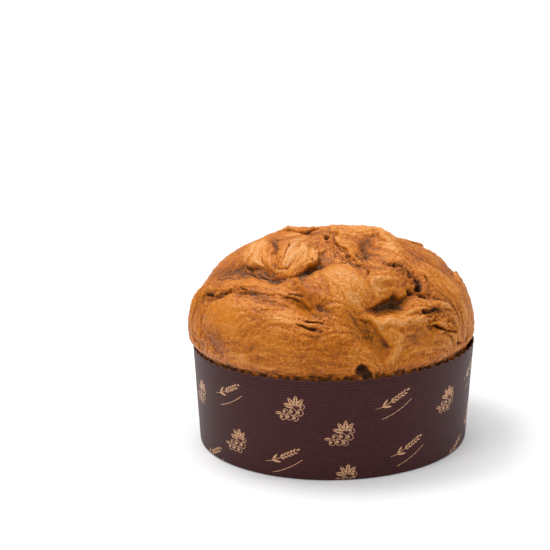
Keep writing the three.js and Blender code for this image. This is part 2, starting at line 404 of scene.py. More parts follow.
# Slits: narrow tears, painted dark inside as painted shade. Line, depth, half-width.
SLITS = [
    ([(-27, -111.5), (-18, -115), (-5, -120)], 2, 1.1),
    ([(-21, -109), (-14, -111), (-4, -114.5)], 1.6, 0.8),
    ([(-38, -86), (-31, -87), (-25, -89.5)], 1.2, 0.6),
    ([(-32, -82.5), (-25, -85), (-19, -88)], 1.2, 0.6),
    ([(-101, -39), (-95, -44), (-89, -50)], 4.5, 2.1),
    ([(-86, -52), (-81, -57), (-76, -60)], 2.2, 1),
    ([(-69, -60), (-66, -64), (-62, -68)], 1.4, 0.7),
    ([(-6, 8), (-2.5, 3), (-2, -6)], 4, 1.6),
    ([(-27, -13), (-29, -28), (-32, -43)], 1.6, 0.8),
    ([(9, -27), (8, -31), (10, -34)], 1.8, 0.9),
    ([(9, -56), (12, -57), (14, -56)], 2.6, 1.3),
    ([(19, -56), (21, -57), (23, -56)], 2.2, 1.1),
    ([(65, -55), (66, -61), (67, -68)], 5, 2.8),
    ([(70, -71), (73, -70), (76, -69)], 3.2, 1.7),
    ([(58, -70), (61, -71), (65, -71)], 3, 1.7),
    ([(43, -48), (48, -49), (53, -48)], 3.4, 2.1),
    ([(54, -57), (57, -59), (60, -58)], 2.2, 1),
    ([(71, -49), (73, -52), (74, -55)], 2, 1),
    ([(71, -83), (79, -79), (86, -76)], 3, 1.8),
    ([(86, -88), (93, -87), (98, -84)], 2.6, 1.3),
    ([(97, -83), (103, -80), (109, -75)], 3, 1.5),
    ([(119, -77), (124, -72), (129, -67)], 2.2, 1),
    ([(66, 62), (70, 74), (66, 86)], 2.8, 1.3),
    ([(-84, 82), (-66, 82), (-52, 78)], 2.8, 1.3),
    ([(20, 68), (30, 70), (38, 67)], 2.6, 1.2),
    ([(-6, 106), (6, 109), (14, 111)], 2.2, 1),
    ([(104, 18), (103, 6), (104, -4)], 2.2, 1),
]

# Bands of darker skin along valleys and under lips, partly browner crust and partly painted shade: line, how
# much darker, half-width.
BANDS = [
    ([(-92, -2), (-74, -24), (-60, -42), (-48, -56), (-36, -68), (-26, -76)], 0.35, 9),
    # Painted shadow under the petal's lip.
    ([(-26, -68), (-15, -60), (-4, -49)], 0.7, 4.5),
    ([(-42, 20), (-43, -6), (-44, -30)], 0.35, 3.5),
    ([(-30, -72), (-24, -77), (-18, -86), (-9, -97), (-3, -108)], 0.8, 3),
    ([(-118, -62), (-108, -78), (-96, -93), (-84, -104)], 0.45, 6),
    ([(28, 18), (28, -8), (26, -28), (24, -44)], 0.4, 5.5),
    ([(9, -22), (15, -48), (23, -68), (29, -84)], 0.5, 2.2),
    ([(28, -96), (38, -90), (50, -82), (62, -75)], 0.65, 7),
    ([(22, -111), (34, -116), (46, -122), (51, -128)], 0.25, 6),
    ([(44, -118), (49, -123), (51, -129)], 0.3, 3.5),
    ([(62, -4), (68, -14), (78, -22)], 0.4, 8),
    ([(44, -48), (56, -56), (66, -63), (76, -69)], 0.75, 8),
    ([(74, -82), (82, -79), (90, -76)], 0.7, 3.5),
    ([(94, -84), (104, -78), (112, -72)], 0.5, 3),
    ([(-20, 40), (-14, 24), (-6, 8), (0, -8)], 0.5, 5),
    ([(74, -124), (92, -113), (108, -99)], 0.3, 4),
    ([(-70, -64), (-54, -76), (-38, -88)], 0.3, 4),
]

# Torn ground: middle, half-widths, turn, depth of the ragged holes.
TORN = [
    ((60, -60), (17, 9), -38, 2.4),
    ((9, -34), (24, 6), -68, 2),
    ((92, -82), (20, 7), 28, 1.6),
    ((-84, -50), (24, 5), -38, 1),
    ((46, -48), (10, 4), -20, 2),
    ((70, 74), (22, 8), 84, 1.8),
    ((-64, 82), (28, 8), -6, 1.8),
    ((24, 68), (22, 7), 4, 1.8),
]

# Where the skin was drawn out into strands: middle, half-widths, turn, strength.
STREAKY = [
    ((-112, -40), (20, 34), -20, 0.7),
    ((-56, -40), (34, 12), -42, 0.6),
    ((-26, -34), (14, 28), 0, 0.45),
    ((-56, -6), (14, 28), 0, 0.5),
    ((8, -30), (34, 12), -70, 0.5),
    ((40, -24), (26, 30), 0, 0.4),
    ((98, -74), (44, 24), 34, 0.55),
    ((37, -119), (18, 9), -30, -0.4),
    ((84, -98), (14, 8), 36, -0.5),
    ((44, -88), (20, 8), 34, -0.4),
    ((-78, -92), (30, 16), -44, -0.25),
    ((-18, -98), (12, 7), -38, -0.4),
    ((0, 100), (130, 80), 0, -0.2),
    ((124, 10), (40, 50), 0, -0.15),
]

# Tints: middle, half-widths, turn, then how much darker, more golden and paler the skin is there. Some
# darker ones are painted shade and some paler ones painted highlight on lit facets.
TINTS = [
    ((-84, -80), (24, 14), -44, 0, 0.8, 0),
    ((-50, -120), (24, 9), -20, 0, 0.5, 0),
    ((-38, -100), (12, 8), -30, 0, 0, 0.6),
    ((-18, -99), (11, 6), -40, 0, 1, 0),
    ((-36, -74), (10, 6), -44, 0, 0.8, 0),
    # The petal's lit facets, painted paler: painted highlight.
    ((-22, -24), (7, 20), 0, 0, 0, 0.8),
    ((-20, -45), (12, 8), 38, 0, 0, 1),
    ((-35, -55), (4, 9), 20, 0, 0, 0.5),
    ((-36, -22), (5, 26), -4, 0.25, 0.5, 0),
    # Painted shadow under the petal's lip.
    ((-13, -58), (13, 4), 38, 0.4, 0, 0),
    # Painted shade under the crown's lip.
    ((-16, 26), (8, 16), 0, 0.9, 0, 0),
    ((20, -32), (7, 24), 14, 0.4, 0.3, 0),
    ((-66, -44), (16, 7), -40, 0.3, 0.2, 0),
    # The plateau's lit top, painted paler: painted highlight.
    ((-57, -10), (9, 28), 2, 0, 0, 1),
    # The left side, painted darker: painted shade.
    ((-96, -28), (24, 36), -12, 0.62, 0.3, 0),
    ((-62, -54), (24, 8), -44, 0.15, 0.5, 0),
    ((12, -80), (17, 14), -62, 0, 0.3, 0.7),
    ((19, -94), (9, 5), -40, 0, 0, 0.9),
    ((-4, -66), (12, 9), 0, 0, 0.6, 0.3),
    ((36, -79), (8, 4), 30, 0, 0, 0.9),
    ((52, -87), (15, 6), 38, 0.2, 1, 0),
    ((32, -117), (17, 9), -26, 0.05, 1.2, 0),
    ((84, -98), (13, 8), 38, 0.15, 1, 0),
    ((46, -16), (11, 26), 0, 0, 0, 0.3),
    ((20, 14), (16, 10), 0, 0, 0, 0.4),
    ((-20, 24), (20, 7), 0, 0, 0, 0.7),
    ((88, -40), (20, 12), -40, 0, 0.4, 0.2),
    ((110, -84), (14, 5), 48, 0, 0, 0.6),
    ((64, -96), (16, 6), 30, 0, 0.3, 0.5),
    ((120, -44), (12, 26), 15, 0.15, 0, 0.2),
    ((-112, -36), (10, 22), 20, 0.2, 0, 0.2),
    ((0, -134), (50, 7), 0, 0.12, 0.1, 0),
    ((70, -126), (20, 6), 36, 0.3, 0, 0),
    ((70, 70), (12, 26), 10, 0.4, 0, 0),
    ((-66, 78), (26, 8), 0, 0.4, 0, 0),
    ((-84, 52), (20, 12), 30, 0, 0.5, 0.2),
    ((84, 44), (18, 12), -50, 0, 0.3, 0.4),
    ((6, 92), (26, 10), 0, 0, 0.5, 0.2),
]

# What the relief does to each chart cell: its rise, its sideways slide and its three tints, whose darker and
# paler parts are partly painted shade and painted highlight.
LAYERS = ("lift", "slide_u", "slide_v", "dark", "gold", "pale")
skin = {name: np.zeros((CELLS, CELLS)) for name in LAYERS}
WHOLE = np.s_[:]


def lay(window, **amounts):
    for layer, amount in amounts.items():
        skin[layer][window] += amount


def swell(at, half, turn, rise):
    lay(WHOLE, lift=rise * patch(at, half, turn))


def fold(points, rise, drop, reach_high, reach_low, overhang):
    line = Line(points, 3 * max(reach_high, reach_low), wander=1.2)
    d, w = line.signed, line.window
    above = rise * np.exp(-((np.maximum(d, 0) / reach_high) ** 1.5))
    below = -drop * np.exp(-((np.maximum(-d, 0) / reach_low) ** 1.3))
    uneven = line.fade * np.clip(1 + 0.25 * UNEVEN[w], 0.3, 1.7)
    lay(w, lift=uneven * mix(below, above, ramp(d, -1.0, 0.7)))
    pull = uneven * overhang * np.exp(-((np.maximum(d - 0.4, 0) / 2.6) ** 2)) * ramp(d, -1.4, 0.2)
    lay(w, slide_u=-pull * line.left[0], slide_v=-pull * line.left[1])
    # Under the lip the skin is painted darker, a painted shadow, and along the lip's crest paler, a painted
    # highlight.
    shade = np.exp(-((np.maximum(-d, 0) / 3) ** 1.2)) * ramp(-d, -0.3, 1.2)
    lay(w, dark=0.28 * uneven * shade * min(1, overhang / 2))
    lay(w, pale=0.15 * uneven * np.exp(-(((d - 2) / 2) ** 2)))


def ridge(points, height, width):
    line = Line(points, 3 * width, wander=1.5)
    roll = line.fade * np.exp(-((line.distance / width) ** 1.7))
    # The roll's crest is painted paler: painted highlight.
    lay(line.window, lift=height * roll, pale=0.3 * roll)


def crease(points, depth, width):
    line = Line(points, 3 * width, wander=1.2)
    valley = line.fade * np.exp(-((line.distance / width) ** 1.3))
    # The valley is painted a little darker: painted shade.
    lay(line.window, lift=-depth * valley, dark=0.035 * depth * valley)


def band(points, darker, width):
    line = Line(points, 3 * width, wander=1.5)
    soft = np.exp(-((line.distance / width) ** 2))
    # Partly browner crust, partly painted shade.
    lay(line.window, dark=darker * line.fade * soft * (1 + 0.25 * STREAK_BROAD[line.window]))


def slit(points, depth, width):
    line = Line(points, 5 * width, wander=0.7)
    fade = np.clip(2.5 * np.sin(pi * np.clip(line.share, 0.02, 0.98)), 0, 1)
    fade = fade * np.clip(1 + 0.4 * UNEVEN[line.window], 0.3, 1.4)
    gap = fade * np.exp(-((line.distance / (0.8 * width)) ** 2))
    lips = fade * np.exp(-(((line.distance - 2 * width) / width) ** 2))
    # The gap is painted dark: painted shade.
    lay(line.window, lift=-depth * gap, dark=0.9 * gap)
    lay(line.window, lift=0.25 * depth * lips)


def tear(at, half, turn, depth):
    ground = patch(at, half, turn, 1.5)
    ragged = STREAK_BROAD * 0.5 + GRAIN_BROAD * 0.7
    holes = ramp(ragged, 0.7, 1.7) * ground
    # The holes are painted dark: painted shade.
    lay(WHOLE, lift=-depth * holes, dark=0.8 * holes * min(1, depth / 2))
    lay(WHOLE, lift=ground * (0.2 * GRAIN_BROAD + 0.3 * GRAIN + 0.15 * GRAIN_FINE))


def tint(at, half, turn, darker, golden, paler):
    here = patch(at, half, turn, 1.3)
    lay(WHOLE, dark=darker * 0.5 * here, gold=golden * here, pale=paler * here)


WANDER_U, WANDER_V = (noise(26) + 0.22 * noise(8) for _ in "uv")
FLOW = stretch_field()
GRAIN_FINE, GRAIN, GRAIN_BROAD = noise(1.5), noise(3), noise(6)
STREAK_FINE, STREAK = drag([noise(1.7), noise(3.6)], FLOW, 7)
STREAK_BROAD, STREAK_LONG, FLOWS = drag([noise(9), noise(6), noise(20)], FLOW, 16)
UNEVEN = noise(12)
SPECKLE = noise(2.4) + 0.35 * noise(9)
STREAKINESS = 0.4 + sum(strength * patch(at, half, turn, 1.5) for at, half, turn, strength in STREAKY)
STREAKINESS = np.maximum(STREAKINESS, 0.05)


def shape_crust():
    lay(WHOLE, lift=-CRUST_INSET)
    steps = (swell, fold, ridge, crease, slit, band, tear, tint)
    tables = (SWELLINGS, FOLDS, RIDGES, CREASES, SLITS, BANDS, TORN, TINTS)
    for step, table in zip(steps, tables):
        for entry in table:
            step(*entry)
    # A corner of the skin has pulled away from the paper at the front, and the hole is painted dark: painted
    # shade.
    gap = np.maximum(patch((30, -147), (6.5, 6.5), 0, 2.2), patch((37, -151), (8, 5), -24, 2.2))
    lay(WHOLE, lift=-6 * gap, dark=1.1 * gap)
    # Blisters burst in the oven leave pits, painted darker inside: painted shade.
    pits = ramp(noise(2.2) + 0.35 * noise(30), 2.3, 3.1)
    lay(WHOLE, lift=-0.7 * pits, dark=0.7 * pits)
    # Away from the calm places the skin is rough with small broken bubbles: whole ones painted paler, partly
    # rubbed crumbs and partly painted glints, burst ones darker with painted shade.
    rough = np.clip(0.35 + STREAKINESS, 0.3, 1)
    bubbles = ramp(SPECKLE, 0.8, 2.2)
    burst = ramp(-SPECKLE, 1, 2.4)
    lay(WHOLE, lift=rough * (0.35 * bubbles - 0.25 * burst), pale=0.9 * rough * bubbles)
    lay(WHOLE, dark=0.25 * rough * burst)
    # Fine wrinkles, painted darker in their grooves: painted shade.
    wrinkles = np.exp(-((STREAK_LONG / 0.22) ** 2)) + 0.6 * np.exp(-((STREAK / 0.2) ** 2))
    strands = 0.5 * STREAK_BROAD + 0.12 * STREAK + 0.05 * STREAK_FINE
    lay(WHOLE, lift=STREAKINESS * (strands - 0.2 * wrinkles), dark=0.08 * STREAKINESS * wrinkles)
    folded = STREAKINESS * np.minimum(np.abs(FLOWS), 1)
    lay(WHOLE, lift=0.9 * folded + 0.1 * GRAIN + 0.14 * GRAIN_BROAD + 0.1 * GRAIN_FINE)


shape_crust()


# ---- Mesh helpers ----
def mesh_object(name, points, quads, smooth=True):
    """A mesh object from points in millimetres and rows of 4 point numbers."""
    mesh = bpy.data.meshes.new(name)
    mesh.vertices.add(len(points))
    mesh.vertices.foreach_set("co", (np.asarray(points) * MM).astype(np.float32).ravel())
    mesh.loops.add(quads.size)
    mesh.loops.foreach_set("vertex_index", quads.astype(np.int32).ravel())
    mesh.polygons.add(len(quads))
    mesh.polygons.foreach_set("loop_start", np.arange(0, quads.size, 4, dtype=np.int32))
    mesh.update(calc_edges=True)
    mesh.validate()
    mesh.shade_smooth() if smooth else mesh.shade_flat()
    obj = bpy.data.objects.new(name, mesh)
    bpy.context.scene.collection.objects.link(obj)
    return obj


def store(obj, name, values):
    attribute = obj.data.attributes.new(name, "FLOAT", "POINT")
    attribute.data.foreach_set("value", np.asarray(values, np.float32))


def store_uv(obj, coordinates):
    layer = obj.data.uv_layers.new(name="OFBake")
    layer.uv.foreach_set("vector", coordinates.astype(np.float32).ravel())


# ---- The loaf ----
def cube_sphere(cells):
    """A sphere of six square grids: unit directions, quads, and each quad corner's place on its
    grid with the grid's number."""
    sides = [
        ((0, 0, 1), (1, 0, 0), (0, 1, 0)),
        ((0, -1, 0), (1, 0, 0), (0, 0, 1)),
        ((1, 0, 0), (0, 1, 0), (0, 0, 1)),
        ((0, 1, 0), (-1, 0, 0), (0, 0, 1)),
        ((-1, 0, 0), (0, -1, 0), (0, 0, 1)),
        ((0, 0, -1), (1, 0, 0), (0, -1, 0)),
    ]
    ticks = np.arange(cells + 1)
    i, j = np.meshgrid(ticks, ticks, indexing="ij")
    corner = np.stack([i[:-1, :-1], j[:-1, :-1]], -1).reshape(-1, 1, 2)
    quad_ij = corner + np.array([(0, 0), (1, 0), (1, 1), (0, 1)])
    lattice, quads, places = [], [], []
    for k, (face, across, up) in enumerate(sides):
        grid = cells * np.array(face) + np.multiply.outer(2 * i - cells, across)
        grid = grid + np.multiply.outer(2 * j - cells, up)
        lattice.append(grid.reshape(-1, 3))
        quads.append(k * (cells + 1) ** 2 + quad_ij[..., 0] * (cells + 1) + quad_ij[..., 1])
        places.append(np.concatenate([quad_ij / cells, np.full(quad_ij.shape[:2] + (1,), k)], -1))
    lattice = np.concatenate(lattice)
    _, first, welded = np.unique(lattice, axis=0, return_index=True, return_inverse=True)
    spread = np.tan(lattice[first] / cells * (pi / 4))
    directions = spread / np.linalg.norm(spread, axis=1, keepdims=True)
    return directions, welded.ravel()[np.concatenate(quads)], np.concatenate(places)


def make_loaf():
    directions, quads, places = cube_sphere(LOAF_CELLS)
    polar = np.arccos(np.clip(directions[:, 2], -1, 1))
    azimuth = np.arctan2(directions[:, 0], -directions[:, 1])
    # Most of the grid goes to the crust that shows, and the rest to what stands in the mould.
    shown = radians(122)
    along = np.interp(polar, [0, shown, pi], [0, NECK + 4, SKIN_ALONG[-1]])
    u, v = along * np.sin(azimuth), -along * np.cos(azimuth)
    free = 1 - ramp(along, EQUATOR + 4, NECK)
    ragged = 1 - ramp(along, NECK - 4, NECK + 2)
    slide_u, slide_v = (sample(skin[k], u, v) * free for k in ("slide_u", "slide_v"))
    moved_along = np.hypot(u + slide_u, v + slide_v)
    moved_azimuth = np.where(along < 1e-6, azimuth, np.arctan2(u + slide_u, -(v + slide_v)))
    point, normal = skin_point(moved_along, moved_azimuth)
    lift = sample(skin["lift"], u, v)
    lift = np.where(lift > 0, lift * free, lift * np.maximum(free, 0.9 * ragged))
    loaf = mesh_object("panettone_crust", point + normal * lift[:, None], quads)
    crust = 1 - ramp(along, NECK + 1, NECK + 6)
    # The skin tucked under the rim's lip is painted darker: painted shade.
    tucked = ramp(along, EQUATOR + 4, NECK)
    for name in ("dark", "gold", "pale"):
        shade = tucked * np.clip(0.8 + 0.8 * sample(UNEVEN, u, v), 0, 1.5) if name == "dark" else 0
        store(loaf, name, np.clip(sample(skin[name], u, v) + shade, 0, 2) * crust)
    store(loaf, "streak", sample(STREAKINESS * (0.6 * STREAK + 0.4 * STREAK_FINE), u, v) * crust)
    store(loaf, "broad", sample(STREAKINESS * STREAK_BROAD, u, v) * crust)
    height = skin["lift"]
    # Used to paint small rises and bulges paler and hollows darker: painted highlight and painted shade.
    store(loaf, "raised", np.tanh(sample(height - blur(height, 1.6), u, v) * 2) * crust)
    store(loaf, "bulge", np.tanh(sample(height - blur(height, 8), u, v) / 2) * crust)
    row, column = places[..., 2] // 3, places[..., 2] % 3
    margin = 0.004
    inner = places[..., :2] * (1 - 2 * margin) + margin
    store_uv(loaf, np.stack([(inner[..., 0] + column) / 3, (inner[..., 1] + row) / 2], -1))
    return loaf


# ---- The mould ----
def ring_quads(columns, rows):
    """Quads of a grid closed on itself both ways, and each corner's place on the grid's own map:
    azimuth across, the section's length up."""
    c, r = np.meshgrid(np.arange(columns), np.arange(rows), indexing="ij")
    c2, r2 = (c + 1) % columns, (r + 1) % rows
    quads = np.stack([c * rows + r, c * rows + r2, c2 * rows + r2, c2 * rows + r], -1)
    corners = [(c, r), (c, r + 1), (c + 1, r + 1), (c + 1, r)]
    places = np.stack([np.stack([x / columns, y / rows], -1) for x, y in corners], -2)
    return quads.reshape(-1, 4), places.reshape(-1, 4, 2)


def make_wall():
    columns = TEETH * COLUMNS_PER_TOOTH
    flutes = round((MOULD_HEIGHT - PAPER) / FLUTE_PITCH)
    climb = np.linspace(1.5, MOULD_HEIGHT, flutes * ROWS_PER_FLUTE + 1)
    ripple = FLUTE_DEPTH * (0.5 + 0.5 * np.cos(2 * pi * climb / FLUTE_PITCH)) ** 0.8
    fold = np.linspace(0, pi / 2, 5)[:-1]
    # The section's points: how far inside the wall's outer face, and how high.
    flange = np.linspace(FLANGE, 1.4, 8)
    inset = np.concatenate([flange, BEND_RADIUS * (1 - np.sin(fold)), FLUTE_DEPTH - ripple])
    height = np.concatenate([0 * flange, BEND_RADIUS * (1 - np.cos(fold)), climb])
    down = np.linspace(MOULD_HEIGHT, BEND_RADIUS, 14)
    inset = np.concatenate([inset, 0 * down + SHEET + FLUTE_DEPTH, flange[::-1]])
    height = np.concatenate([height, down, 0 * flange + 0.7])
    rows = len(inset)
    wall_start = len(flange) + len(fold)
    wall_end = wall_start + len(climb)
    outer = np.arange(rows) < wall_end
    standing = (height > 1.1) & (np.arange(rows) >= len(flange))
    azimuth = np.arange(columns) * 2 * pi / columns
    bite = 1.2 * TOOTH_DEPTH * np.abs(np.sin(pi * np.arange(columns) / COLUMNS_PER_TOOTH)) ** 0.8
    turn = azimuth[:, None]
    face = FOOT_RADIUS + (RIM_RADIUS - FOOT_RADIUS) * height / MOULD_HEIGHT
    # The paper has eased away from the loaf at the right of the rim.
    spread = RIM_SPREAD * np.maximum(np.sin(turn), 0) ** 6
    radius = (face - inset)[None, :] + spread * height / MOULD_HEIGHT
    z = height[None, :] + 0 * turn
    near_rim = ramp(height, MOULD_HEIGHT - 4, MOULD_HEIGHT)[None, :]
    z = z - bite[:, None] * near_rim
    near_edge = (ramp(inset, FLANGE - 3, FLANGE) * ~standing)[None, :]
    radius = radius + 1.5 * bite[:, None] * near_edge
    # The folded-in flange gathers in small pleats.
    pleats = 0.5 + 0.5 * np.cos(turn * PLEATS + 0.8 * np.sin(3 * turn))
    z = z + 0.35 * pleats**3 * (ramp(inset, BEND_RADIUS, 4) * ~standing)[None, :]
    # The strip's outer end lies over its inner end at the back.
    past = (turn - pi) * RIM_RADIUS
    lap = ramp(past, -0.1, 0.25) * (1 - ramp(past, LAP_WIDTH - 6, LAP_WIDTH + 1)) * ramp(height, 0.5, 3)
    radius = radius + PAPER * 0.95 * lap * outer[None, :]
    # Damp and drying have left the flutes a little wavy.
    sway = 0.25 * np.sin(3 * turn + 1) + 0.2 * np.sin(7 * turn) + 0.12 * np.sin(17 * turn + 2)
    z = z + (sway * np.sin(pi * np.clip(height / MOULD_HEIGHT, 0, 1)) * standing)
    points = np.stack([radius * np.sin(turn), -radius * np.cos(turn), z], -1).reshape(-1, 3)
    quads, places = ring_quads(columns, rows)
    wall = mesh_object("paper_wall", points, quads)
    store_uv(wall, places)
    crest = np.where(outer & standing, 0, 0.5)
    crest[wall_start:wall_end] = ripple / FLUTE_DEPTH
    store(wall, "crest", np.tile(crest, columns))
    edge = ramp(height, MOULD_HEIGHT - 0.9, MOULD_HEIGHT) * standing
    store(wall, "cut_edge", np.tile(edge, columns))
    store(wall, "inside", np.tile(~outer, columns))
    return wall


def make_base():
    """The fluted paper disc: straight flutes run across it, and steam holes pierce it."""
    low, high = (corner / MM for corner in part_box("mould_base"))
    radius = high.x
    lines = int(2 * radius / FLUTE_PITCH) * 4
    across = np.linspace(-radius, radius, lines + 1)
    half_chord = np.sqrt(np.maximum(radius**2 - across**2, 0.3**2))
    along = np.linspace(-1, 1, BASE_POINTS)
    x = np.repeat(across[:, None], BASE_POINTS, 1)
    y = half_chord[:, None] * along[None, :]
    ripple = 0.5 * (high.z - low.z - SHEET) * np.cos(2 * pi * x / FLUTE_PITCH)
    middle = (low.z + high.z) / 2
    top = np.stack([x, y, middle + ripple + SHEET / 2], -1)
    bottom = np.stack([x, y, middle + ripple - SHEET / 2], -1)
    count = (lines + 1) * BASE_POINTS
    last = BASE_POINTS - 1
    i, j = np.meshgrid(np.arange(lines), np.arange(last), indexing="ij")
    a = (i * BASE_POINTS + j).ravel()
    b = a + BASE_POINTS
    upper = np.stack([a, b, b + 1, a + 1], -1)
    lower = np.stack([a, a + 1, b + 1, b], -1) + count
    rim = np.concatenate([
        np.arange(lines) * BASE_POINTS,
        lines * BASE_POINTS + np.arange(last),
        (lines - np.arange(lines)) * BASE_POINTS + last,
        last - np.arange(last),
    ])
    rim_next = np.roll(rim, -1)
    edge = np.stack([rim, rim + count, rim_next + count, rim_next], -1)
    points = np.concatenate([top.reshape(-1, 3), bottom.reshape(-1, 3)])
    base = mesh_object("paper_base", points, np.concatenate([upper, lower, edge]), smooth=False)
    cutter = make_vent_cutter(low.z, high.z)
    hole = base.modifiers.new("vents", "BOOLEAN")
    hole.operation = "DIFFERENCE"
    hole.object = cutter
    hole.solver = "EXACT"
    bpy.context.view_layer.update()
    pierced = bpy.data.meshes.new_from_object(base.evaluated_get(bpy.context.evaluated_depsgraph_get()))
    base.modifiers.clear()
    base.data = pierced
    base.data.shade_smooth()
    bpy.data.objects.remove(cutter)
    return base


def make_vent_cutter(low, high):
    """A 16-sided prism through each steam hole."""
    sides = 16
    turns = np.arange(sides) * 2 * pi / sides
    points, quads = [], []
    for ring_radius, count in VENT_RINGS:
        for k in range(count):
            turn = 2 * pi * k / count
            middle = np.array([ring_radius * cos(turn), ring_radius * sin(turn)])
            start = len(points)
            for z in (low - 2, high + 2):
                points += [(*(middle + VENT_RADIUS * np.array([cos(t), sin(t)])), z) for t in turns]
            for i in range(sides):
                a, b = start + i, start + (i + 1) % sides
                quads.append((a, b, b + sides, a + sides))
            for first, way in ((start, -1), (start + sides, 1)):
                for i in range(sides // 2 - 1):
                    cap = (first, first + 2 * i + 1, first + 2 * i + 2, first + (2 * i + 3) % sides)
                    quads.append(cap[::way])
    return mesh_object("vent_cutter", np.array(points, float), np.array(quads), smooth=False)


# ---- Node materials ----
class Nodes:
    """A small shorthand for building a node tree."""

    def __init__(self, name, roughness):
        self.material = bpy.data.materials.new(name)
        self.material.use_nodes = True
        self.tree = self.material.node_tree
        self.shader = self.tree.nodes["Principled BSDF"]
        self.shader.inputs["Roughness"].default_value = roughness

    def put(self, socket, value):
        if isinstance(value, bpy.types.NodeSocket):
            self.tree.links.new(value, socket)
        elif value is not None:
            socket.default_value = value

    def add(self, kind, **inputs):
        node = self.tree.nodes.new(kind)
        for key, value in inputs.items():
            self.put(node.inputs[key.replace("_", " ")], value)
        return node

    def math(self, operation, a, b=None, c=None):
        node = self.tree.nodes.new("ShaderNodeMath")
        node.operation = operation
        for socket, value in zip(node.inputs, (a, b, c)):
            self.put(socket, value)
        return node.outputs[0]

    def plus(self, a, b):
        return self.math("ADD", a, b)

    def minus(self, a, b):
        return self.math("SUBTRACT", a, b)

    def times(self, a, b):
        return self.math("MULTIPLY", a, b)

    def weigh(self, total, *terms):
        """The total plus each term's value times its weight."""
        for value, weight in terms:
            total = self.plus(total, self.times(value, weight))
        return total

    def span(self, value, low, high, to_low=0.0, to_high=1.0):
        node = self.tree.nodes.new("ShaderNodeMapRange")
        node.interpolation_type = "SMOOTHSTEP"
        for key, number in zip(range(1, 5), (low, high, to_low, to_high)):
            node.inputs[key].default_value = number
        self.put(node.inputs[0], value)
        return node.outputs[0]

    def blend(self, share, a, b):
        node = self.tree.nodes.new("ShaderNodeMix")
        node.data_type = "RGBA"
        self.put(node.inputs[0], share)
        self.put(node.inputs[6], a)
        self.put(node.inputs[7], b)
        return node.outputs[2]

    def attribute(self, name):
        node = self.tree.nodes.new("ShaderNodeAttribute")
        node.attribute_name = name
        return node.outputs["Fac"]

    def noise(self, scale, detail, roughness, vector):
        node = self.add("ShaderNodeTexNoise", Scale=scale, Detail=detail, Roughness=roughness, Vector=vector)
        return node.outputs["Fac"]

    def object_point(self):
        return self.tree.nodes.new("ShaderNodeTexCoord").outputs["Object"]

    def bump(self, height, distance, strength):
        node = self.add("ShaderNodeBump", Height=height, Distance=distance, Strength=strength)
        return node.outputs["Normal"]

    def finish(self, color=None, roughness=None, normal=None):
        for key, value in (("Base Color", color), ("Roughness", roughness), ("Normal", normal)):
            self.put(self.shader.inputs[key], value)
        return self.material


def srgb(red, green, blue):
    """A node colour from 8-bit screen values."""
    shares = (c / 255 for c in (red, green, blue))
    return (*(((c + 0.055) / 1.055) ** 2.4 if c > 0.04 else c / 12.92 for c in shares), 1)


def crust_material():
    n = Nodes("baked_crust", 0.5)
    at = n.object_point()
    mottle = n.noise(60, 4, 0.6, at)
    speck = n.noise(700, 3, 0.65, at)
    grain = n.noise(1500, 2, 0.6, at)
    flecks = n.span(n.noise(950, 1, 0.5, at), 0.58, 0.68)
    pits = n.span(n.noise(520, 3, 0.6, at), 0.36, 0.28)
    dark, gold, pale = (n.attribute(k) for k in ("dark", "gold", "pale"))
    streak, broad = n.attribute("streak"), n.attribute("broad")
    raised, bulge = n.attribute("raised"), n.attribute("bulge")
    # How dark the skin is painted, from pale ridges to dark folds: partly the crust's own browning and
    # grain, partly painted shade in folds, hollows and pits, and painted highlights on ridges and bulges and
    # as pale glinting flecks.
    tone_with_painted_light = n.weigh(
        n.times(streak, -0.14),
        (broad, -0.07),
        (n.plus(mottle, -0.5), 0.75),
        (n.plus(speck, -0.5), 0.9),
        (flecks, -0.26),
        (pits, 0.32),
    )
    browning_and_shade = n.math("TANH", dark)
    tone_with_painted_light = n.times(tone_with_painted_light, n.math("MULTIPLY_ADD", browning_and_shade, -0.5, 1.0))
    # Small rises and bulges are painted paler and hollows darker: painted highlight and painted shade.
    tone_with_painted_light = n.weigh(tone_with_painted_light, (raised, -0.1), (bulge, -0.17), (browning_and_shade, 0.52), (pale, -0.26))
    tone_with_painted_light = n.plus(tone_with_painted_light, 0.475)
    ramp_node = n.add("ShaderNodeValToRGB", Fac=tone_with_painted_light)
    tones = [
        (0.0, srgb(208, 146, 90)),
        (0.25, srgb(196, 120, 30)),
        (0.48, srgb(174, 90, 4)),
        (0.7, srgb(136, 68, 4)),
        (0.88, srgb(92, 45, 5)),
        (1.0, srgb(54, 25, 4)),
    ]
    elements = ramp_node.color_ramp.elements
    while len(elements) < len(tones):
        elements.new(0.5)
    for element, (place, tone) in zip(elements, tones):
        element.position = place
        element.color = tone
    color = ramp_node.outputs[0]
    golden = n.times(gold, n.span(tone_with_painted_light, 0.9, 0.5))
    color = n.blend(n.times(golden, 0.75), color, srgb(186, 108, 10))
    roughness = n.weigh(0.33, (n.plus(speck, -0.5), 0.4), (dark, 0.25))
    fine = n.weigh(n.times(speck, 0.5), (grain, 0.3), (flecks, 0.3), (pits, -0.4))
    normal = n.bump(fine, 0.0012, 0.6)
    n.shader.inputs["Specular IOR Level"].default_value = 0.34
    n.shader.inputs["Specular Tint"].default_value = (1.0, 0.82, 0.55, 1)
    return n.finish(color, roughness, normal)


